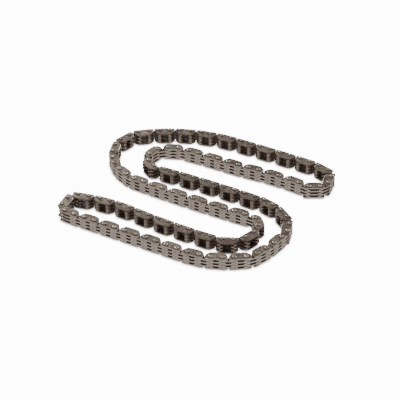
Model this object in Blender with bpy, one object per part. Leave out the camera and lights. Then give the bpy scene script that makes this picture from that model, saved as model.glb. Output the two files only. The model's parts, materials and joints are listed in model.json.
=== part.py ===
"""Inverted tooth timing chain: an endless loop of 122 links that lies on its side, folded into an S.

The pins stand along Z and every plate lies flat. Seven layers of plates are laced together.
A guide link has plates in layers 1, 3, 5 and 7: two arched guide plates outside, two toothed plates inside.
An inner link has toothed plates in layers 2, 4 and 6. Guide links and inner links take turns.
Each pin is riveted into the guide plates of its guide link and turns in the bores of the inner link.

Link number n runs from pin n to pin n + 1. Even links are guide links, odd ones are inner links.
The loop is travelled counter-clockwise, with the teeth on the left.
"""
import math

import bmesh
import bpy
import numpy as np

MM = 0.001

# Links
PITCH = 6.35 * MM
PLATE_THICKNESS = 1.05 * MM
SIDE_PLAY = 0.03 * MM
TOOTH_LAYERS_INSIDE = 5

# Plate outlines, measured from the line through the two pins of the link
BACK_WALL = 0.70 * MM
END_WALL = 1.05 * MM
TOOTH_HEIGHT = 3.90 * MM
CROTCH_HEIGHT = 0.90 * MM
CROTCH_WIDTH = 4.70 * MM
GUIDE_GAP = 0.55 * MM
GUIDE_NOSE_HEIGHT = 0.20 * MM
GUIDE_BACK_CHAMFER = 0.70 * MM
NEIGHBOUR_CLEARANCE = 0.10 * MM

# Pins
PIN_RADIUS = 0.95 * MM
PIN_SIDES = 6
BORE_CLEARANCE = 0.05 * MM
HEAD_HEIGHT = 0.53 * MM
HEAD_TOP_RADIUS = 0.60 * MM

# Degrees that the loop may bend further at one pin, past its tightest bend at rest
BEND_MARGIN = 3.0

# Degrees from +X to the first link, and the bends along the loop from the first pin on:
# (how many pins, degrees that they turn through together), with left turns positive
FIRST_HEADING = -3.7
ROUTE = (
    (1, 4), (10, -1), (5, 34), (2, 33), (3, 16), (3, 62), (3, 33),
    (10, 6), (4, -143), (2, -37),
    (4, -4), (3, 5), (5, -11), (5, 170), (2, 15),
    (7, 2), (9, 37), (4, 69), (2, 28), (4, 43),
    (10, 4), (1, -6), (2, -85), (4, -88),
    (8, -8), (5, 19), (4, 163),
)

# Runs of links that turn together, each with its first link. A run ends where the next one starts.
RUNS = (
    ("strand_a", 2), ("bend_ab_1", 11), ("bend_ab_2", 18), ("bend_ab_3", 21), ("strand_b", 29),
    ("bend_bc_1", 34), ("bend_bc_2", 40), ("strand_c", 48), ("bend_cd_1", 53), ("bend_cd_2", 60),
    ("strand_d_1", 66), ("strand_d_2", 72), ("bend_de_1", 78), ("bend_de_2", 84), ("strand_e", 90),
    ("bend_ef_1", 96), ("bend_ef_2", 103), ("strand_f_1", 109), ("strand_f_2", 114), ("bend_fa", 118),
)
# The run that the others hang on, in two branches, and the last run of the first branch.
# The branches meet at the pivot after that run.
ROOT_RUN = 4
LAST_RUN = 13

STEEL = (0.215, 0.190, 0.158, 1.0)
STEEL_ROUGHNESS = 0.42


def turns_at_pins():
    """Radians that the loop turns through at each pin."""
    return np.radians([turn / pins for pins, turn in ROUTE for _ in range(pins)])


def link_headings():
    """Heading of each link, with the smallest change to the route's bends that closes the loop."""
    heading = math.radians(FIRST_HEADING) + np.concatenate([[0.0], np.cumsum(turns_at_pins())[:-1]])
    for _ in range(12):
        across = np.stack([-np.sin(heading), np.cos(heading)])
        gap = np.array([np.cos(heading).sum(), np.sin(heading).sum()])
        heading = heading - across.T @ np.linalg.solve(across @ across.T, gap)
    return heading


def pin_places(heading):
    """Centre of each pin, with the loop's own middle at zero."""
    steps = PITCH * np.stack([np.cos(heading), np.sin(heading)], axis=1)
    places = np.vstack([[0.0, 0.0], np.cumsum(steps, axis=0)])[:-1]
    return places - (places.min(axis=0) + places.max(axis=0)) / 2


HEADINGS = link_headings()
LINKS = len(HEADINGS)
PINS = pin_places(HEADINGS)
LAYER_PITCH = PLATE_THICKNESS + SIDE_PLAY
LAYERS = TOOTH_LAYERS_INSIDE + 2
HEIGHT = 2 * HEAD_HEIGHT + LAYERS * LAYER_PITCH - SIDE_PLAY


def reach_past_pin(height):
    """How far a plate may reach past its pin at a height above the pins' line.

    Two plates in one layer, with a link between them, then stay clear in the tightest bend.
    """
    bends = np.diff(np.unwrap(HEADINGS))
    bend = bends.max() + math.radians(BEND_MARGIN)
    return (PITCH / 2 - NEIGHBOUR_CLEARANCE - height * math.sin(bend)) / math.cos(bend)


def mirrored(half):
    """The same points at the near end of a link, in the order that goes on round the plate."""
    return [(PITCH - along, across) for along, across in reversed(half)]


def tooth_corners():
    """The end of a toothed plate past its middle, from its back corner to the inner edge of its tooth."""
    return [
        (PITCH + PIN_RADIUS + END_WALL, -(PIN_RADIUS + BACK_WALL)),
        (PITCH + reach_past_pin(TOOTH_HEIGHT), TOOTH_HEIGHT),
        (PITCH / 2 + CROTCH_WIDTH / 2, TOOTH_HEIGHT),
    ]


def toothed_outline():
    """Two teeth with a V between them. The first pin is at (0, 0), the second at (PITCH, 0)."""
    far = tooth_corners()
    return far + [(PITCH / 2, CROTCH_HEIGHT)] + mirrored(far)


def guide_outline():
    """A straight back, ends that nearly touch the next guide plate, and an arched tooth side."""
    nose = (PITCH - GUIDE_GAP) / 2
    far = [
        (PITCH + nose - GUIDE_BACK_CHAMFER, -(PIN_RADIUS + BACK_WALL)),
        (PITCH + nose, GUIDE_NOSE_HEIGHT),
        (PITCH + reach_past_pin(TOOTH_HEIGHT), TOOTH_HEIGHT),
    ]
    return far + mirrored(far)


def plates_middle():
    """Middle of the rectangle round all the plates, seen from above."""
    corners = np.concatenate([
        on_link(link, guide_outline() if is_guide(link) else toothed_outline()) for link in range(LINKS)
    ])
    return (corners.min(axis=0) + corners.max(axis=0)) / 2


def layer_heights(layer):
    """Underside and top of a layer's plates. Layers count up from 1."""
    low = HEAD_HEIGHT + (layer - 1) * LAYER_PITCH
    return low, low + PLATE_THICKNESS


def filled_heights(layer):
    """Underside and top of a plate that bears on the layers above and below it, with no play."""
    return layer_heights(layer - 1)[1], layer_heights(layer + 1)[0]


def add_prism(shape, sections):
    """A closed solid from rings of points with equal counts, each with its height, from the lowest up."""
    rings = [[shape.verts.new((x, y, height)) for x, y in points] for points, height in sections]
    shape.faces.new(list(reversed(rings[0])))
    shape.faces.new(rings[-1])
    for lower, upper in zip(rings, rings[1:]):
        for i, corner in enumerate(lower):
            following = (i + 1) % len(lower)
            shape.faces.new((corner, lower[following], upper[following], upper[i]))


def on_link(link, points, origin=0.0):
    """Points of a plate's outline, moved from the link's own axes to their place in the loop."""
    along = np.array([math.cos(HEADINGS[link]), math.sin(HEADINGS[link])])
    left = np.array([-along[1], along[0]])
    return [PINS[link] - origin + x * along + y * left for x, y in points]


def add_plate(shape, link, outline, heights, origin):
    """One plate of a link, extruded between two heights."""
    points = on_link(link, outline, origin)
    add_prism(shape, [(points, height) for height in heights])


def add_half(shape, corners, seam, heights):
    """Half of a stepped plate: all its faces but the one at the seam with the other half."""
    low, high = heights
    columns = [[shape.verts.new((*corner, z)) for z in heights] for corner in corners]
    ends = [[vert for z, vert in sorted(column.items()) if low <= z <= high] for column in seam]
    columns = [ends[0]] + columns + [ends[1]]
    shape.faces.new([column[0] for column in reversed(columns)])
    shape.faces.new([column[-1] for column in columns])
    for column, following in zip(columns, columns[1:]):
        shape.faces.new(following + column[::-1])


def add_stepped_plate(shape, link, layer, free_end, origin):
    """An inner link's toothed plate at a pivot.

    The half round the pivot keeps the side play, the other half bears on its own guide link.
    """
    far = tooth_corners()
    back, crotch = (PITCH / 2, far[0][1]), (PITCH / 2, CROTCH_HEIGHT)
    loose, tight = layer_heights(layer), filled_heights(layer)
    seam = []
    for point in on_link(link, [back, crotch], origin):
        seam.append({z: shape.verts.new((*point, z)) for z in (*tight, *loose)})
    far_heights, near_heights = (loose, tight) if free_end == "far" else (tight, loose)
    add_half(shape, on_link(link, far, origin), seam, far_heights)
    add_half(shape, on_link(link, mirrored(far), origin), seam[::-1], near_heights)
    first, second = seam if free_end == "near" else seam[::-1]
    for lower, upper in ((tight[0], loose[0]), (loose[1], tight[1])):
        shape.faces.new((first[lower], first[upper], second[upper], second[lower]))


def ring_points(pin, radius, origin):
    """Corners of a regular polygon round a pin's centre."""
    first = HEADINGS[pin]
    angles = [first + 2 * math.pi * k / PIN_SIDES for k in range(PIN_SIDES)]
    return [PINS[pin] - origin + radius * np.array([math.cos(a), math.sin(a)]) for a in angles]


def add_riveted_pin(shape, pin, origin):
    """A pin as long as the chain is wide, with a domed head at each end."""
    shank = ring_points(pin, PIN_RADIUS, origin)
    dome = ring_points(pin, HEAD_TOP_RADIUS, origin)
    edge = HEAD_HEIGHT / 2
    add_prism(shape, [(dome, 0.0), (shank, edge), (shank, HEIGHT - edge), (dome, HEIGHT)])


def add_bore(shape, pin, origin):
    """A cutter for the bores of an inner link round a pin that turns in them."""
    radius = (PIN_RADIUS + BORE_CLEARANCE) / math.cos(math.pi / PIN_SIDES)
    ring = ring_points(pin, radius, origin)
    add_prism(shape, [(ring, 0.0), (ring, HEIGHT)])


def new_object(name, shape, parent):
    """Turn a bmesh into an object under its parent."""
    mesh = bpy.data.meshes.new(name)
    shape.to_mesh(mesh)
    shape.free()
    made = bpy.data.objects.new(name, mesh)
    made.parent = parent
    bpy.context.collection.objects.link(made)
    return made


def combine(target, operation, name, shape, parent):
    """Join a helper shape to the target, or cut it from the target."""
    if not shape.verts:
        shape.free()
        return
    helper = new_object(name, shape, parent)
    helper.hide_render = True
    helper.display_type = "WIRE"
    boolean = target.modifiers.new(name, "BOOLEAN")
    boolean.solver = "EXACT"
    boolean.operation = operation
    boolean.object = helper


def steel(name):
    """Satin heat-treated steel."""
    material = bpy.data.materials.new(name)
    material.use_nodes = True
    surface = material.node_tree.nodes["Principled BSDF"]
    surface.inputs["Base Color"].default_value = STEEL
    surface.inputs["Metallic"].default_value = 1.0
    surface.inputs["Roughness"].default_value = STEEL_ROUGHNESS
    return material


def is_guide(link):
    return link % 2 == 0


def axis_pin(index):
    """The pin that a run turns on: the one on the side of the root run."""
    after_root = (index - ROOT_RUN) % len(RUNS) <= (LAST_RUN - ROOT_RUN) % len(RUNS)
    return RUNS[index][1] if after_root else RUNS[(index + 1) % len(RUNS)][1]


def make_run(index):
    """One run of links: guide rows, inner rows laced between them, its riveted pins and its bores."""
    name, first = RUNS[index]
    end = RUNS[(index + 1) % len(RUNS)][1]
    links = [(first + k) % LINKS for k in range((end - first) % LINKS)]
    origin = PINS[axis_pin(index)]

    pivot = bpy.data.objects.new(name + "_pivot", None)
    pivot.location = (*(origin - plates_middle()), 0.0)
    bpy.context.collection.objects.link(pivot)

    guide_rows, inner_rows, pins, bores = (bmesh.new() for _ in range(4))
    toothed, arched = toothed_outline(), guide_outline()
    for link in links:
        if is_guide(link):
            for layer in range(1, LAYERS + 1, 2):
                outline = arched if layer in (1, LAYERS) else toothed
                add_plate(guide_rows, link, outline, layer_heights(layer), origin)
        else:
            free_end = {links[0]: "near", links[-1]: "far"}.get(link)
            for layer in range(2, LAYERS, 2):
                if free_end:
                    add_stepped_plate(inner_rows, link, layer, free_end, origin)
                else:
                    add_plate(inner_rows, link, toothed, filled_heights(layer), origin)

    for link, pin in ((links[0], links[0]), (links[-1], (links[-1] + 1) % LINKS)):
        if is_guide(link):
            add_riveted_pin(pins, pin, origin)
        else:
            add_bore(bores, pin, origin)

    run = new_object(name, guide_rows, pivot)
    combine(run, "UNION", name + "_inner_rows", inner_rows, pivot)
    combine(run, "UNION", name + "_pins", pins, pivot)
    combine(run, "DIFFERENCE", name + "_bores", bores, pivot)
    run.data.materials.append(steel(name + "_steel"))


def main():
    for old in list(bpy.data.objects):
        bpy.data.objects.remove(old, do_unlink=True)
    for index in range(len(RUNS)):
        make_run(index)


main()
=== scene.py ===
# %% [markdown]
# # A cam chain, dressed in steel
# The object is an endless inverted tooth chain, the kind that drives a camshaft. It lies on its side,
# folded into an S, so its pins stand upright and its plates lie flat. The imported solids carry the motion.
# This lesson makes the surfaces over them: plates stamped from sheet, riveted pins, and worn brown steel.

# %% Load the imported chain
import json
import math

import bpy
import numpy as np
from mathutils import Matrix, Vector


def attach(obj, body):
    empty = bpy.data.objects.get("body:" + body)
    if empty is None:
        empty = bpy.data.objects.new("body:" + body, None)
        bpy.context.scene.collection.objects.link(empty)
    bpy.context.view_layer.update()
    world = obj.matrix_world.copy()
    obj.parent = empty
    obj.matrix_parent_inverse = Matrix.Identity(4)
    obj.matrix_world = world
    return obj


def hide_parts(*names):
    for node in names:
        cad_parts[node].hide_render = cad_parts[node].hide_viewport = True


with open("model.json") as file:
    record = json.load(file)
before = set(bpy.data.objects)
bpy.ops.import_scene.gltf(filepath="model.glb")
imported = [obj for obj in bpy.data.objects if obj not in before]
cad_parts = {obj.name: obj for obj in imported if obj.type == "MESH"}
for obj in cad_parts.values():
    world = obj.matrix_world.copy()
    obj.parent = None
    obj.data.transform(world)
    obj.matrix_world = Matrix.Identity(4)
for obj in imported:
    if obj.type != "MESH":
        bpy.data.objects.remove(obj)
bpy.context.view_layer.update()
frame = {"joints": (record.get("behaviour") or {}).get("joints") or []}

# %% [markdown]
# ## The sizes of one link
# Everything on a chain follows from its pitch, the distance between two pins. This one has the small
# standard pitch of 6.35 mm. Seven layers of plates, each 1.05 mm thick, are laced on the pins. The sizes
# are named once here and every outline and every layer height is worked out from them.

# %% Sizes of one link
MM = 0.001
PITCH = 6.35 * MM
PLATE_THICKNESS = 1.05 * MM
SIDE_PLAY = 0.03 * MM
LAYERS = 7
BACK = 1.65 * MM
TOOTH_HEIGHT = 3.90 * MM
HEAD_HEIGHT = 0.53 * MM
PIN_RADIUS = 0.95 * MM
STACK_HEIGHT = LAYERS * PLATE_THICKNESS + (LAYERS - 1) * SIDE_PLAY
CHAIN_HEIGHT = STACK_HEIGHT + 2 * HEAD_HEIGHT


def layer_floor(layer):
    """Underside of a layer of plates: the head height plus one layer pitch for each layer below it."""
    return HEAD_HEIGHT + (layer - 1) * (PLATE_THICKNESS + SIDE_PLAY)


print("Height over the pin heads:", round(CHAIN_HEIGHT / MM, 2), "mm")

# %% [markdown]
# ## The road that the loop follows
# A folded chain is a walk of equal steps, with a turn at each pin. Listing the turns by stretch keeps the
# S readable: straight strands turn little, the bends turn a lot. The walk ends a little way from where it
# began, so every heading is nudged by the smallest amounts that close the loop.

# %% Walk the loop
FIRST_HEADING = -3.7
ROUTE = (
    (1, 4), (10, -1), (5, 34), (2, 33), (3, 16), (3, 62), (3, 33),
    (10, 6), (4, -143), (2, -37),
    (4, -4), (3, 5), (5, -11), (5, 170), (2, 15),
    (7, 2), (9, 37), (4, 69), (2, 28), (4, 43),
    (10, 4), (1, -6), (2, -85), (4, -88),
    (8, -8), (5, 19), (4, 163),
)
CLOSING_ROUNDS = 12


def link_headings():
    """Running sum of the turns, moved by least squares until the unit steps add up to nothing."""
    turns = np.radians([turn / pins for pins, turn in ROUTE for _ in range(pins)])
    heading = math.radians(FIRST_HEADING) + np.concatenate([[0.0], np.cumsum(turns)[:-1]])
    for _ in range(CLOSING_ROUNDS):
        across = np.stack([-np.sin(heading), np.cos(heading)])
        gap = np.array([np.cos(heading).sum(), np.sin(heading).sum()])
        heading = heading - across.T @ np.linalg.solve(across @ across.T, gap)
    return heading


HEADINGS = link_headings()
LINKS = len(HEADINGS)
steps = PITCH * np.stack([np.cos(HEADINGS), np.sin(HEADINGS)], axis=1)
PINS = np.vstack([[0.0, 0.0], np.cumsum(steps, axis=0)])[:-1]

# %% [markdown]
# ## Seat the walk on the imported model
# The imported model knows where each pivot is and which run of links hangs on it. One pivot's place is
# enough to move the whole walk onto the solids, and the others then show whether it fits.

# %% Seat the walk on the pivots
RUNS = {
    "strand_a": 2, "bend_ab_1": 11, "bend_ab_2": 18, "bend_ab_3": 21, "strand_b": 29,
    "bend_bc_1": 34, "bend_bc_2": 40, "strand_c": 48, "bend_cd_1": 53, "bend_cd_2": 60,
    "strand_d_1": 66, "strand_d_2": 72, "bend_de_1": 78, "bend_de_2": 84, "strand_e": 90,
    "bend_ef_1": 96, "bend_ef_2": 103, "strand_f_1": 109, "strand_f_2": 114, "bend_fa": 118,
}
pivots = {joint["child"]: np.array(joint["pos_m"][:2]) for joint in frame["joints"]}
PINS = PINS + pivots["bend_bc_2"] - PINS[RUNS["bend_bc_2"]]
misfit = max(np.linalg.norm(PINS - place, axis=1).min() for place in pivots.values())
print("Farthest that a pivot lies from a pin of the walk:", round(1e6 * misfit, 2), "micrometres")


def links_of(run):
    """Numbers of the links from a run's first link up to the next run's first link."""
    names = list(RUNS)
    following = RUNS[names[(names.index(run) + 1) % len(names)]]
    count = (following - RUNS[run]) % LINKS
    return (RUNS[run] + np.arange(count)) % LINKS


# %% [markdown]
# ## Camera
# The photograph looks down at about 38 degrees with a long lens, from the lower right of the strands.
# The camera is aimed at the middle of the picture and turned so that the strands run down to the right.

# %% Camera
CAMERA_HEADING = 117.0
CAMERA_DROP = 38.1
CAMERA_DISTANCE = 670 * MM
FIELD_OF_VIEW = 18.77
AIM_FROM_FIRST_PIN = np.array([62.52, 41.11]) * MM
NEAREST_SEEN = 10 * MM


def add_camera():
    """A camera on a sphere round the aim point, looking back at it."""
    aim = Vector((*(PINS[0] + AIM_FROM_FIRST_PIN), CHAIN_HEIGHT))
    heading, drop = math.radians(CAMERA_HEADING), math.radians(CAMERA_DROP)
    view = Vector((math.cos(heading) * math.cos(drop), math.sin(heading) * math.cos(drop), -math.sin(drop)))
    camera = bpy.data.objects.new("camera", bpy.data.cameras.new("camera"))
    camera.location = aim - CAMERA_DISTANCE * view
    camera.rotation_euler = view.to_track_quat("-Z", "Y").to_euler()
    camera.data.sensor_fit = "HORIZONTAL"
    camera.data.angle = math.radians(FIELD_OF_VIEW)
    camera.data.clip_start = NEAREST_SEEN
    bpy.context.scene.collection.objects.link(camera)
    bpy.context.scene.camera = camera


add_camera()
print("Camera field of view:", FIELD_OF_VIEW, "degrees")

# %% [markdown]
# ## Ground and light
# The chain was shot on white with soft light from all round, so the ground burns out to white and the
# shadows are faint. A large plane that glows a little and a white sky give that, and the plane darkens only
# right under the chain's edges, where no open sky reaches it. Two lamps stand low behind the chain, where
# the domed pin heads mirror them as small bright spots and the flat plates don't.

# %% Ground and light
FLOOR_SIZE = 6.0
FLOOR_DROP = 0.02 * MM
FLOOR_SEEN = 13.0
FLOOR_GLOW = 0.92
SHADOW_REACH = 1.5 * MM
SHADOW_DEPTH = 2.0
SHADOW_SAMPLES = 8
LAMPS = {"left_lamp": ((-0.62, 0.50, 0.12), 5.0), "right_lamp": ((0.22, 0.78, 0.16), 2.8)}
LAMP_SIZE = 0.20
SKY_STRENGTH = 0.48
WHITE = (1, 1, 1, 1)


def add_floor():
    """A flat sheet just under the lowest pin heads.

    The camera sees it brighter than the chain does, and dark where the chain stands close over it: there
    the white is multiplied by a power of the share of open sky.
    """
    side = FLOOR_SIZE / 2
    corners = [(-side, -side, 0.0), (side, -side, 0.0), (side, side, 0.0), (-side, side, 0.0)]
    mesh = bpy.data.meshes.new("ground")
    mesh.from_pydata(corners, [], [(0, 1, 2, 3)])
    floor = bpy.data.objects.new("ground", mesh)
    floor.location.z = -FLOOR_DROP
    bpy.context.scene.collection.objects.link(floor)
    paint = bpy.data.materials.new("white_ground")
    paint.use_nodes = True
    tree = paint.node_tree
    tree.nodes.clear()
    seen = tree.nodes.new("ShaderNodeEmission")
    glow = tree.nodes.new("ShaderNodeEmission")
    glow.inputs["Strength"].default_value = FLOOR_GLOW
    hidden = tree.nodes.new("ShaderNodeAmbientOcclusion")
    hidden.samples = SHADOW_SAMPLES
    hidden.inputs["Distance"].default_value = SHADOW_REACH
    depth = tree.nodes.new("ShaderNodeMath")
    depth.operation = "POWER"
    depth.inputs[1].default_value = SHADOW_DEPTH
    white = tree.nodes.new("ShaderNodeMath")
    white.operation = "MULTIPLY"
    white.inputs[1].default_value = FLOOR_SEEN
    tree.links.new(hidden.outputs["AO"], depth.inputs[0])
    tree.links.new(depth.outputs[0], white.inputs[0])
    tree.links.new(white.outputs[0], seen.inputs["Strength"])
    choice = tree.nodes.new("ShaderNodeMixShader")
    path = tree.nodes.new("ShaderNodeLightPath")
    output = tree.nodes.new("ShaderNodeOutputMaterial")
    tree.links.new(path.outputs["Is Camera Ray"], choice.inputs[0])
    tree.links.new(glow.outputs[0], choice.inputs[1])
    tree.links.new(seen.outputs[0], choice.inputs[2])
    tree.links.new(choice.outputs[0], output.inputs[0])
    mesh.materials.append(paint)


def add_light():
    """Two low lamps behind the chain that point at it, and an even white sky."""
    for name, (place, power) in LAMPS.items():
        lamp = bpy.data.objects.new(name, bpy.data.lights.new(name, "AREA"))
        lamp.location = place
        lamp.rotation_euler = (-Vector(place)).to_track_quat("-Z", "Y").to_euler()
        lamp.data.size = LAMP_SIZE
        lamp.data.energy = power
        lamp.visible_camera = False
        bpy.context.scene.collection.objects.link(lamp)
    world = bpy.data.worlds.new("white_sky")
    world.use_nodes = True
    sky = world.node_tree.nodes["Background"]
    sky.inputs["Color"].default_value = WHITE
    sky.inputs["Strength"].default_value = SKY_STRENGTH
    bpy.context.scene.world = world


add_floor()
add_light()
print("Lamps:", ", ".join(LAMPS))

# %% [markdown]
# ## Shader sums as Python sums
# Node materials are arithmetic. Wrapping a socket in a small class lets that arithmetic be written as
# ordinary Python, and one method makes every other kind of node.

# %% A socket that can do sums
ATTRIBUTE_VECTOR, ATTRIBUTE_NUMBER = 1, 2
MIX_FACTOR, MIX_FIRST, MIX_SECOND, MIX_RESULT = 0, 6, 7, 2


class Value:
    """A node's output that takes part in Python sums. Each sum adds a Math node."""

    def __init__(self, tree, socket):
        self.tree = tree
        self.socket = socket

    def sum_with(self, operation, *others):
        node = self.tree.nodes.new("ShaderNodeMath")
        node.operation = operation
        for slot, item in zip(node.inputs, others):
            connect(self.tree, item, slot)
        return Value(self.tree, node.outputs[0])

    def __add__(self, other):
        return self.sum_with("ADD", self, other)

    def __sub__(self, other):
        return self.sum_with("SUBTRACT", self, other)

    def __rsub__(self, other):
        return self.sum_with("SUBTRACT", other, self)

    def __mul__(self, other):
        return self.sum_with("MULTIPLY", self, other)

    def clamped(self):
        return self.sum_with("MINIMUM", self.sum_with("MAXIMUM", self, 0.0), 1.0)

    def size(self):
        return self.sum_with("ABSOLUTE", self)

    def root(self):
        return self.sum_with("SQRT", self)

    __radd__ = __add__


def connect(tree, item, slot):
    """Link a value to a socket, or write a plain number or colour on it."""
    if isinstance(item, Value):
        tree.links.new(item.socket, slot)
    else:
        slot.default_value = item


class Finish:
    """A new material with one Principled surface, and the method that adds nodes to it."""

    def __init__(self, name):
        self.material = bpy.data.materials.new(name)
        self.material.use_nodes = True
        self.tree = self.material.node_tree
        self.surface = self.tree.nodes["Principled BSDF"]

    def node(self, kind, inputs=(), output=0, **settings):
        """Add a node: its settings first, then the values or links of its sockets."""
        made = self.tree.nodes.new(kind)
        for key, setting in settings.items():
            setattr(made, key, setting)
        for key, item in dict(inputs).items():
            connect(self.tree, item, made.inputs[key])
        return Value(self.tree, made.outputs[output])

    def ramp(self, factor, stops):
        """Colours along a 0 to 1 factor, each stop with its place and colour."""
        made = self.tree.nodes.new("ShaderNodeValToRGB")
        band = made.color_ramp.elements
        for place, colour in stops[2:]:
            band.new(place)
        for element, (place, colour) in zip(band, sorted(stops)):
            element.position = place
            element.color = (*colour, 1)
        connect(self.tree, factor, made.inputs[0])
        return Value(self.tree, made.outputs[0])

    def mix(self, factor, first, second, blend_type="MIX"):
        """A colour between two colours."""
        made = self.tree.nodes.new("ShaderNodeMix")
        made.data_type = "RGBA"
        made.blend_type = blend_type
        for slot, item in ((MIX_FACTOR, factor), (MIX_FIRST, first), (MIX_SECOND, second)):
            connect(self.tree, item, made.inputs[slot])
        return Value(self.tree, made.outputs[MIX_RESULT])

    def attribute(self, name, output=ATTRIBUTE_NUMBER):
        """What the mesh carries under a name, as a number or as a vector."""
        return self.node("ShaderNodeAttribute", output=output, attribute_name=name)

    def noise(self, place, scale, detail):
        """Noise between 0 and 1, finer with a larger scale."""
        return self.node("ShaderNodeTexNoise", {"Vector": place, "Scale": scale, "Detail": detail})

    def drive(self, socket, item):
        connect(self.tree, item, self.surface.inputs[socket])


print("Shader sums are ready")

# %% [markdown]
# ## Steel of the plates
# The plates are hardened and tumbled, which leaves a satin grey-brown skin with olive and pinkish
# patches, fine grain, oil stains, and brighter metal where the edges rub, with a painted highlight on it.
# Every plate is stamped alone, so each has its own tone: the meshes carry a tone and plate coordinates as
# attributes, which keeps the grain turned along each link round the bends. They also carry wear with a
# painted highlight, oil with painted shade in the pockets and between plates, and which faces are flat,
# because the rubbing and the painted highlight brighten the edges and sides and hardly touch the faces.
# Each pin's head sits in a ring of painted shade.

# %% Finish of the plates
# Painted shade: a dark ring on the plates round the foot of each pin's head.
SHADE_RING_START = 1.22 * MM
SHADE_RING_WIDTH = 0.50 * MM
SHADE_RING_DEPTH = 0.90
TONE_STEP = (0.37, 0.71, 0.53)
PLATE_NOISES = {
    "patches": (480.0, 4.0), "blotches": (1300.0, 3.0),
    "grain": (3600.0, 3.0), "tint": (220.0, 3.0),
}
SCRATCH_NOISE = (5200.0, 2.0)
SCRATCH_STRETCH = (0.10, 1.0, 1.0)
SHADE_WEIGHTS = {"patches": 1.8, "blotches": 2.2, "grain": 1.8, "scratches": 1.0, "tone": 0.5}
SHADE_MIDDLE = 3.23
OLIVE, NEUTRAL, PINK = (0.91, 1.0, 0.82), (1.0, 0.98, 0.95), (1.13, 0.95, 0.97)
HUE_STOPS = [(0.38, OLIVE), (0.50, NEUTRAL), (0.62, PINK)]
STAIN_START, STAIN_SLOPE, STAIN_DEPTH = 0.56, 6.0, 0.5
# Rubbing with a painted highlight on edges, backs and tips, spared on the flat faces.
RUB_BY_GRAIN, RUB_LOSS, RUB_AND_HIGHLIGHT_SPARED_BY_FLAT = 1.8, 0.30, 0.75
# Oil, with painted shade in the pockets and between plates, and how much it dulls the metal.
OIL_SHADE_BY_GRAIN, OIL_SHADE_BASE, OIL_OVER_METAL = 0.5, 0.75, 0.85
ROUGH_BY_PATCHES, SMOOTH_BY_GRAIN, SMOOTH_BY_RUB = 0.22, 0.12, 0.08
GRAIN_HEIGHT, SCRATCH_HEIGHT = 0.6, 0.4
PLATE_BUMP = {"Strength": 0.35, "Distance": 0.03 * MM}
STAIN_COLOUR = (0.060, 0.046, 0.034, 1)
# Colour of the rubbed metal with its painted highlight.
RUBBED_AND_HIGHLIGHT_COLOUR = (0.66, 0.575, 0.51, 1)
# Colour of the painted shade round the pin heads.
SHADE_RING_COLOUR = (0.070, 0.055, 0.040, 1)
# Colour of the oil and its painted shade.
OIL_AND_SHADE_COLOUR = (0.120, 0.078, 0.056, 1)


def apart(steel, on_plate):
    """The place moved by a step of its own for each plate, the plate's tone, and a ring of painted shade
    round its pins.

    The painted shade ring is 1 at the foot of a pin's head and fades to 0 in half a millimetre. The distance
    from the nearer pin is the root of (|x| minus half a pitch) squared plus y squared.
    """
    tone = steel.attribute("tone")
    step = steel.node("ShaderNodeCombineXYZ", dict(enumerate(tone * share for share in TONE_STEP)))
    place = steel.node("ShaderNodeVectorMath", {0: on_plate, 1: step}, operation="ADD")
    x = steel.node("ShaderNodeSeparateXYZ", {0: on_plate})
    y = steel.node("ShaderNodeSeparateXYZ", {0: on_plate}, output=1)
    beside = x.size() - PITCH / 2
    distance = (beside * beside + y * y).root()
    # painted shade ring round the foot of each pin's head
    ring = (1.0 - (distance - SHADE_RING_START) * (1 / SHADE_RING_WIDTH)).clamped()
    return place, tone, ring


def plate_noises(steel, place, tone):
    """Each noise of the steel by its name, with the plate's tone and scratches drawn out along the link."""
    noises = {name: steel.noise(place, *settings) for name, settings in PLATE_NOISES.items()}
    stretched = steel.node(
        "ShaderNodeMapping", {"Vector": place, "Scale": SCRATCH_STRETCH}, vector_type="POINT"
    )
    return {**noises, "scratches": steel.noise(stretched, *SCRATCH_NOISE), "tone": tone}


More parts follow.
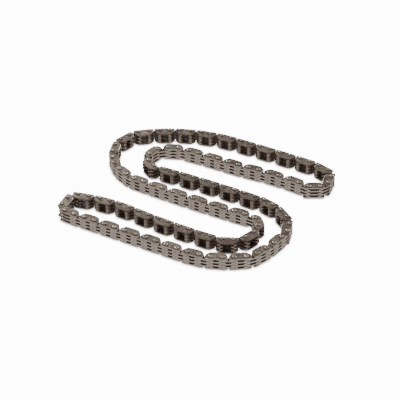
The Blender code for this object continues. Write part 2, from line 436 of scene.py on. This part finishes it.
def plate_steel(name, light, dark, roughness):
    """Two steel tones mixed by a weighted sum of the noises, then stained, rubbed with a painted highlight,
    ringed with painted shade round the pins, and oiled with painted shade.
    """
    steel = Finish(name)
    on_plate = steel.attribute("on_plate", ATTRIBUTE_VECTOR)
    place, tone, ring = apart(steel, on_plate)
    noises = plate_noises(steel, place, tone)
    patches, grain, tint = noises["patches"], noises["grain"], noises["tint"]
    wear_and_highlight, oil_and_shade, flat = steel.attribute("wear_and_highlight"), steel.attribute("oil_and_shade"), steel.attribute("flat")
    first, *others = [noises[key] * weight for key, weight in SHADE_WEIGHTS.items()]
    shade = (sum(others, first) - SHADE_MIDDLE).clamped()
    colour = steel.mix(shade, (*dark, 1), (*light, 1))
    colour = steel.mix(1.0, colour, steel.ramp(tint, HUE_STOPS), "MULTIPLY")
    stain = ((tint - STAIN_START) * STAIN_SLOPE).clamped() * STAIN_DEPTH
    colour = steel.mix(stain, colour, STAIN_COLOUR)
    # rubbed metal with a painted highlight on edges and sides, less on the flat faces
    rubbed_and_highlit = (wear_and_highlight * (grain * RUB_BY_GRAIN - RUB_LOSS) * (1.0 - flat * RUB_AND_HIGHLIGHT_SPARED_BY_FLAT)).clamped()
    colour = steel.mix(rubbed_and_highlit, colour, RUBBED_AND_HIGHLIGHT_COLOUR)
    # painted shade round the pin heads
    colour = steel.mix(ring * SHADE_RING_DEPTH, colour, SHADE_RING_COLOUR)
    # oil, with painted shade in the V between teeth and on faces between plates
    colour = steel.mix((oil_and_shade * (grain * OIL_SHADE_BY_GRAIN + OIL_SHADE_BASE)).clamped(), colour, OIL_AND_SHADE_COLOUR)
    steel.drive("Base Color", colour)
    rough = roughness + patches * ROUGH_BY_PATCHES - grain * SMOOTH_BY_GRAIN - rubbed_and_highlit * SMOOTH_BY_RUB
    steel.drive("Roughness", rough.clamped())
    steel.drive("Metallic", (1.0 - oil_and_shade * OIL_OVER_METAL).clamped())
    height = grain * GRAIN_HEIGHT + noises["scratches"] * SCRATCH_HEIGHT
    steel.drive("Normal", steel.node("ShaderNodeBump", {"Height": height, **PLATE_BUMP}))
    return steel.material


GUIDE_STEEL = plate_steel("guide_plate_steel", (0.500, 0.410, 0.345), (0.105, 0.083, 0.064), 0.36)
TOOTH_STEEL = plate_steel("toothed_plate_steel", (0.600, 0.500, 0.430), (0.190, 0.152, 0.120), 0.38)
print("Plate finishes:", GUIDE_STEEL.name, "and", TOOTH_STEEL.name)

# %% [markdown]
# ## Steel of the pins
# The pins are harder and brighter than the plates. Riveting leaves a burnished dome and a dimple from the
# tool. Painted shade darkens the foot of the dome, where it meets the plate, and the dimple.

# %% Finish of the pins
PIN_NOISE = (2600.0, 4.0)
BRIGHT_BY_GRAIN, BRIGHT_BY_TONE, BRIGHT_LOSS = 0.9, 0.7, 0.15
# Painted shade at the foot of each pin's head and in its dimple, which also roughens the surface.
SHADE_GRIME_BY_GRAIN, SHADE_GRIME_BASE = 0.8, 0.5
PIN_ROUGHNESS, PIN_ROUGH_BY_GRAIN, PIN_ROUGH_BY_SHADE_GRIME = 0.24, 0.14, 0.26
PIN_BUMP = {"Strength": 0.30, "Distance": 0.02 * MM}
PIN_DARK, PIN_LIGHT = (0.31, 0.24, 0.175, 1), (0.68, 0.575, 0.475, 1)
# Colour of the painted shade on the pins.
PAINTED_SHADE_COLOUR = (0.030, 0.023, 0.016, 1)


def pin_steel():
    """Bright metal on the dome, painted shade in the ring round it and in the dimple."""
    steel = Finish("pin_steel")
    place = steel.attribute("on_plate", ATTRIBUTE_VECTOR)
    grain = steel.noise(place, *PIN_NOISE)
    bright = (grain * BRIGHT_BY_GRAIN + steel.attribute("tone") * BRIGHT_BY_TONE - BRIGHT_LOSS).clamped()
    colour = steel.mix(bright, PIN_DARK, PIN_LIGHT)
    # painted shade at the foot of each head and in its dimple
    shaded_and_dirty = (steel.attribute("shade_and_grime") * (grain * SHADE_GRIME_BY_GRAIN + SHADE_GRIME_BASE)).clamped()
    steel.drive("Base Color", steel.mix(shaded_and_dirty, colour, PAINTED_SHADE_COLOUR))
    rough = PIN_ROUGHNESS + grain * PIN_ROUGH_BY_GRAIN + shaded_and_dirty * PIN_ROUGH_BY_SHADE_GRIME
    steel.drive("Roughness", rough.clamped())
    steel.surface.inputs["Metallic"].default_value = 1.0
    steel.drive("Normal", steel.node("ShaderNodeBump", {"Height": grain, **PIN_BUMP}))
    return steel.material


PIN_STEEL = pin_steel()
print("Pin finish:", PIN_STEEL.name)

# %% [markdown]
# ## Outline of a guide plate
# A guide plate has a straight back and a rounded, arched tooth side, like a loaf. A superellipse draws
# that in one formula: a soft power on the tooth side and a hard one on the back. Where the chain curls
# tightly two neighbours would meet, so the outline is trimmed to a line that keeps them apart.

# %% Outline of a guide plate
GUIDE_GAP = 0.44 * MM
GUIDE_NOSE_HEIGHT = 0.20 * MM
ARCH_POWER = 3.0
BACK_POWER = 9.0
GUIDE_POINTS = 28
NEIGHBOUR_CLEARANCE = 0.10 * MM
BEND_MARGIN = 3.0


def reach_from_middle(height):
    """Half length that a plate may have at a height above the pins' line.

    Two plates with a link between them are mirror images in a line through that link's middle. The point
    at a height reaches the line when reach times cos(bend) plus height times sin(bend) is half a pitch.
    """
    bends = np.diff(np.unwrap(HEADINGS))
    margin = math.radians(BEND_MARGIN)
    bend = np.where(height > 0, bends.max() + margin, bends.min())
    return PITCH / 2 + (PITCH / 2 - NEIGHBOUR_CLEARANCE - height * np.sin(bend)) / np.cos(bend)


def guide_outline():
    """Superellipse about the link's middle: x is cos to a power, y is sin to a power, each with its sign."""
    angle = 2 * np.pi * (np.arange(GUIDE_POINTS) + 0.5) / GUIDE_POINTS
    side, rise = np.cos(angle), np.sin(angle)
    power = np.where(rise > 0, ARCH_POWER, BACK_POWER)
    span = np.where(rise > 0, TOOTH_HEIGHT - GUIDE_NOSE_HEIGHT, BACK + GUIDE_NOSE_HEIGHT)
    y = GUIDE_NOSE_HEIGHT + span * np.sign(rise) * np.abs(rise) ** (2 / power)
    half_length = PITCH - GUIDE_GAP / 2
    x = half_length * np.sign(side) * np.abs(side) ** (2 / power)
    limit = reach_from_middle(y)
    return np.stack([np.clip(x, -limit, limit), y], axis=1)


print("Guide plate length:", round(np.ptp(guide_outline()[:, 0]) / MM, 2), "mm")

# %% [markdown]
# ## Outline of a toothed plate
# A toothed plate is cut with straight flanks, so its outline is a list of corners with a radius at each.
# Each radius is drawn as a curve between two points on the edges that meet there.

# %% Outline of a toothed plate
END_REACH = 2.00 * MM
SHOULDER_HEIGHT = 3.00 * MM
CROTCH_WIDTH = 4.70 * MM
CROTCH_HEIGHT = 0.90 * MM
CROTCH_FLOOR = 1.80 * MM
CORNER_RADII = np.array([0.55, 0.50, 0.30, 0.30, 0.80]) * MM
CORNER_STEPS = 3


def rounded(corners, radii):
    """Closed outline with each corner replaced by a parabola.

    The parabola starts one radius before the corner and ends one radius after it, and the corner is its
    control point: (1 - t) squared times the start, 2t(1 - t) times the corner, t squared times the end.
    """
    before = np.roll(corners, 1, axis=0) - corners
    after = np.roll(corners, -1, axis=0) - corners
    start = corners + radii[:, None] * before / np.linalg.norm(before, axis=1)[:, None]
    end = corners + radii[:, None] * after / np.linalg.norm(after, axis=1)[:, None]
    t = np.linspace(0, 1, CORNER_STEPS)[None, :, None]
    curve = (1 - t) ** 2 * start[:, None] + 2 * t * (1 - t) * corners[:, None] + t ** 2 * end[:, None]
    return curve.reshape(-1, 2)


def toothed_outline():
    """Two teeth with a V between them, symmetric about the link's middle."""
    half = PITCH / 2
    shoulder, tip = reach_from_middle(np.array([SHOULDER_HEIGHT, TOOTH_HEIGHT]))
    far = np.array([
        (half + END_REACH, -BACK), (shoulder, SHOULDER_HEIGHT), (tip, TOOTH_HEIGHT),
        (CROTCH_WIDTH / 2, TOOTH_HEIGHT), (CROTCH_FLOOR / 2, CROTCH_HEIGHT),
    ])
    radii = np.concatenate([CORNER_RADII, CORNER_RADII[::-1]])
    return rounded(np.vstack([far, far[::-1] * (-1, 1)]), radii)


print("Toothed plate length:", round(np.ptp(toothed_outline()[:, 0]) / MM, 2), "mm")

# %% [markdown]
# ## From outlines to plates
# A plate is its outline at four heights: a slightly smaller ring on each face and the full ring just
# inside it, so the edge has a small chamfer that catches the light. The rings of all plates in a run are
# one array, and faces are index sums on it. Oil with painted shade, and wear with a painted highlight, are
# worked out on the same rings.

# %% Plates as arrays
GUIDE_EDGE = 0.22 * MM
TOOTHED_EDGE = 0.20 * MM
SHARP_ANGLE = 35.0
BACK_START, TIP_START = -0.8 * BACK, 0.9 * TOOTH_HEIGHT
OIL_SLOPE, OIL_AT_TIPS = 1.7, 0.30
ARCH_START, ARCH_OIL = 1.2 * GUIDE_NOSE_HEIGHT, 0.50
EDGE_RINGS = np.array([0, 1, 1, 0])
# Rubbing and painted highlight on the edge rings, the backs and the tips.
RING_WEAR_AND_HIGHLIGHT = np.array([0.75, 0.25, 0.25, 0.75])
BACK_WEAR, TIP_WEAR = 0.75, 0.30
RANDOM = np.random.default_rng(122)


def inset(outline, distance):
    """Move each point inwards, along the normal of the line between its two neighbours."""
    along = np.roll(outline, -1, axis=0) - np.roll(outline, 1, axis=0)
    normal = np.stack([-along[:, 1], along[:, 0]], axis=1)
    return outline + distance * normal / np.linalg.norm(normal, axis=1)[:, None]


def plate_rings(outline, layer, edge):
    """Four rings of a plate as x, y, z about the link's middle, with z from the ground."""
    low = layer_floor(layer)
    high = low + PLATE_THICKNESS
    small = inset(outline, edge)
    levels = ((small, low), (outline, low + edge), (outline, high - edge), (small, high))
    return np.stack([np.column_stack([ring, np.full(len(ring), z)]) for ring, z in levels])


def onto_links(points, links):
    """Turn points by each link's heading and move them to the link's middle."""
    heading = HEADINGS[links].reshape(-1, *[1] * (points.ndim - 1))
    middle = PINS[links] + PITCH / 2 * np.stack([np.cos(HEADINGS[links]), np.sin(HEADINGS[links])], axis=1)
    middle = middle.reshape(-1, *[1] * (points.ndim - 1), 2)
    x, y = points[None, ..., 0], points[None, ..., 1]
    placed = np.empty((len(links), *points.shape))
    placed[..., 0] = middle[..., 0] + x * np.cos(heading) - y * np.sin(heading)
    placed[..., 1] = middle[..., 1] + x * np.sin(heading) + y * np.cos(heading)
    placed[..., 2] = points[None, ..., 2]
    return placed


def tube_faces(copies, rings, points):
    """Quads between neighbouring rings, and a cap on the first and last ring, for each copy."""
    grid = np.arange(copies * rings * points).reshape(copies, rings, points)
    lower, upper = grid[:, :-1], grid[:, 1:]
    quads = np.stack([lower, np.roll(lower, -1, axis=2), np.roll(upper, -1, axis=2), upper], axis=-1)
    return quads.reshape(-1, 4).tolist() + grid[:, 0, ::-1].tolist() + grid[:, -1].tolist()


def add_piece(name, points, faces, attributes, finish, run):
    """Make a mesh object at the origin, with its attributes, its finish and the run that it rides on.

    An attribute with one value for each face goes on the faces, and any other goes on the points.
    """
    mesh = bpy.data.meshes.new(name)
    mesh.from_pydata(points.reshape(-1, 3), [], faces)
    for key, values in attributes.items():
        kind, slot = ("FLOAT_VECTOR", "vector") if values.ndim == 2 else ("FLOAT", "value")
        domain = "FACE" if len(values) == len(faces) else "POINT"
        mesh.attributes.new(key, kind, domain).data.foreach_set(slot, values.ravel())
    mesh.shade_smooth()
    mesh.set_sharp_from_angle(angle=math.radians(SHARP_ANGLE))
    mesh.materials.append(finish)
    piece = bpy.data.objects.new(name, mesh)
    bpy.context.scene.collection.objects.link(piece)
    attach(piece, run)
    return piece


def oil_and_shade_on(rings, layers):
    """How dark the oil and painted shade are on each point: full on faces inside the stack, and more the
    deeper in the teeth.

    The teeth are rubbed clean at their tips only, so oil falls from full at the pins' line to a little at
    the tips, and oil with painted shade fills the V between two teeth. A guide plate has some oil on its
    arch.
    The backs have none.
    """
    x, y = rings[..., 0], rings[..., 1]
    oil_and_shade = np.where(y > BACK_START, OIL_SLOPE * (1 - y / TOOTH_HEIGHT) + OIL_AT_TIPS, 0.0).clip(0, 1)
    # oil and painted shade fill the V between the teeth
    oil_and_shade = np.where((np.abs(x) < CROTCH_WIDTH / 2) & (y > 0), 1.0, oil_and_shade)
    if LAYERS in layers:
        oil_and_shade = ARCH_OIL * (y > ARCH_START) * EDGE_RINGS[:, None]
    # faces between plates get full oil and painted shade
    inside = np.array([(layer > 1, False, False, layer < LAYERS) for layer in layers], float)
    return np.maximum(oil_and_shade, inside[..., None])


def wear_and_highlight_on(rings):
    """How far each point is rubbed bright, with a painted highlight: the corners of its edge, and more on the
    back than the tips.
    """
    y = rings[..., 1]
    return np.clip(RING_WEAR_AND_HIGHLIGHT[:, None] + BACK_WEAR * (y < BACK_START) + TIP_WEAR * (y > TIP_START), 0, 1)


def add_plates(name, outline, edge, layers, links, finish, run):
    """All plates of one kind in a run, as one piece."""
    rings = np.stack([plate_rings(outline, layer, edge) for layer in layers])
    placed = onto_links(rings, links)
    plates = len(links) * len(layers)
    per_plate = rings.shape[1] * rings.shape[2]
    faces = tube_faces(plates, rings.shape[1], rings.shape[2])
    attributes = {
        "flat": (np.arange(len(faces)) >= len(faces) - 2 * plates).astype(float),
        "oil_and_shade": np.tile(oil_and_shade_on(rings, layers).ravel(), len(links)),
        "on_plate": np.tile(rings.reshape(-1, 3), (len(links), 1)),
        "tone": np.repeat(RANDOM.uniform(0, 1, plates), per_plate),
        "wear_and_highlight": np.tile(wear_and_highlight_on(rings).ravel(), len(links)),
    }
    return add_piece(name, placed, faces, attributes, finish, run)


# %% [markdown]
# ## Riveted pins
# Each pin is a solid of revolution: a shank hidden in the plates and a head at each end that the
# riveting tool spread and dimpled. Each pin is a little thicker or thinner, and brighter or duller.

# %% Pins as arrays
PIN_SIDES = 12
PIN_SPREAD = (0.95, 1.03)
# Each row: radius and height as shares of the pin's radius and head height, and the painted shade and grime.
HEAD_PROFILE = np.array([
    (1.26, 0.00, 1.00), (1.25, 0.25, 0.60), (1.12, 0.72, 0.05),
    (0.84, 1.00, 0.00), (0.50, 0.96, 0.12), (0.24, 0.70, 0.50),
])


def pin_profile():
    """Radius, height, and painted shade and grime of each ring, from the lower head's dimple up to the upper
    head's.
    """
    radius = HEAD_PROFILE[:, 0] * PIN_RADIUS
    rise = HEAD_PROFILE[:, 1] * HEAD_HEIGHT
    shade_and_grime = HEAD_PROFILE[:, 2]
    upper = HEAD_HEIGHT + STACK_HEIGHT + rise
    lower = HEAD_HEIGHT - rise
    pairs = ((radius[::-1], radius), (lower[::-1], upper), (shade_and_grime[::-1], shade_and_grime))
    return [np.concatenate(pair) for pair in pairs]


def add_pins(name, guide_links, run):
    """The two pins of each guide link in a run, as one piece."""
    radius, height, shade_and_grime = pin_profile()
    pins = np.concatenate([guide_links, (guide_links + 1) % LINKS])
    angle = 2 * np.pi * np.arange(PIN_SIDES) / PIN_SIDES
    size = RANDOM.uniform(*PIN_SPREAD, (len(pins), 1, 1))
    x = PINS[pins, 0][:, None, None] + size * radius[None, :, None] * np.cos(angle)
    y = PINS[pins, 1][:, None, None] + size * radius[None, :, None] * np.sin(angle)
    z = np.broadcast_to(height[None, :, None], x.shape)
    points = np.stack([x, y, z], axis=-1)
    per_pin = len(radius) * PIN_SIDES
    attributes = {
        "on_plate": points.reshape(-1, 3),
        "tone": np.repeat(RANDOM.uniform(0, 1, len(pins)), per_pin),
        "shade_and_grime": np.tile(np.repeat(shade_and_grime, PIN_SIDES), len(pins)),
    }
    return add_piece(name, points, tube_faces(len(pins), len(radius), PIN_SIDES), attributes, PIN_STEEL, run)


# %% [markdown]
# ## Dress every run
# A run's even links are guide links and its odd links are inner links. The guide plates stand for the
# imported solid, which is then hidden, and the other pieces ride on the same body.

# %% Dress every run
GUIDE = guide_outline()
TOOTHED = toothed_outline()
for run in RUNS:
    links = links_of(run)
    guide_links, inner_links = links[links % 2 == 0], links[links % 2 == 1]
    guides = add_plates(run + "_guide_plates", GUIDE, GUIDE_EDGE, (1, LAYERS), guide_links, GUIDE_STEEL, run)
    add_plates(run + "_outer_toothed_plates", TOOTHED, TOOTHED_EDGE, (3, 5), guide_links, TOOTH_STEEL, run)
    add_plates(run + "_inner_toothed_plates", TOOTHED, TOOTHED_EDGE, (2, 4, 6), inner_links, TOOTH_STEEL, run)
    add_pins(run + "_pins", guide_links, run)
    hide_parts(run)
print("Runs dressed:", len(RUNS), "with", LINKS, "links and", LINKS, "pins")
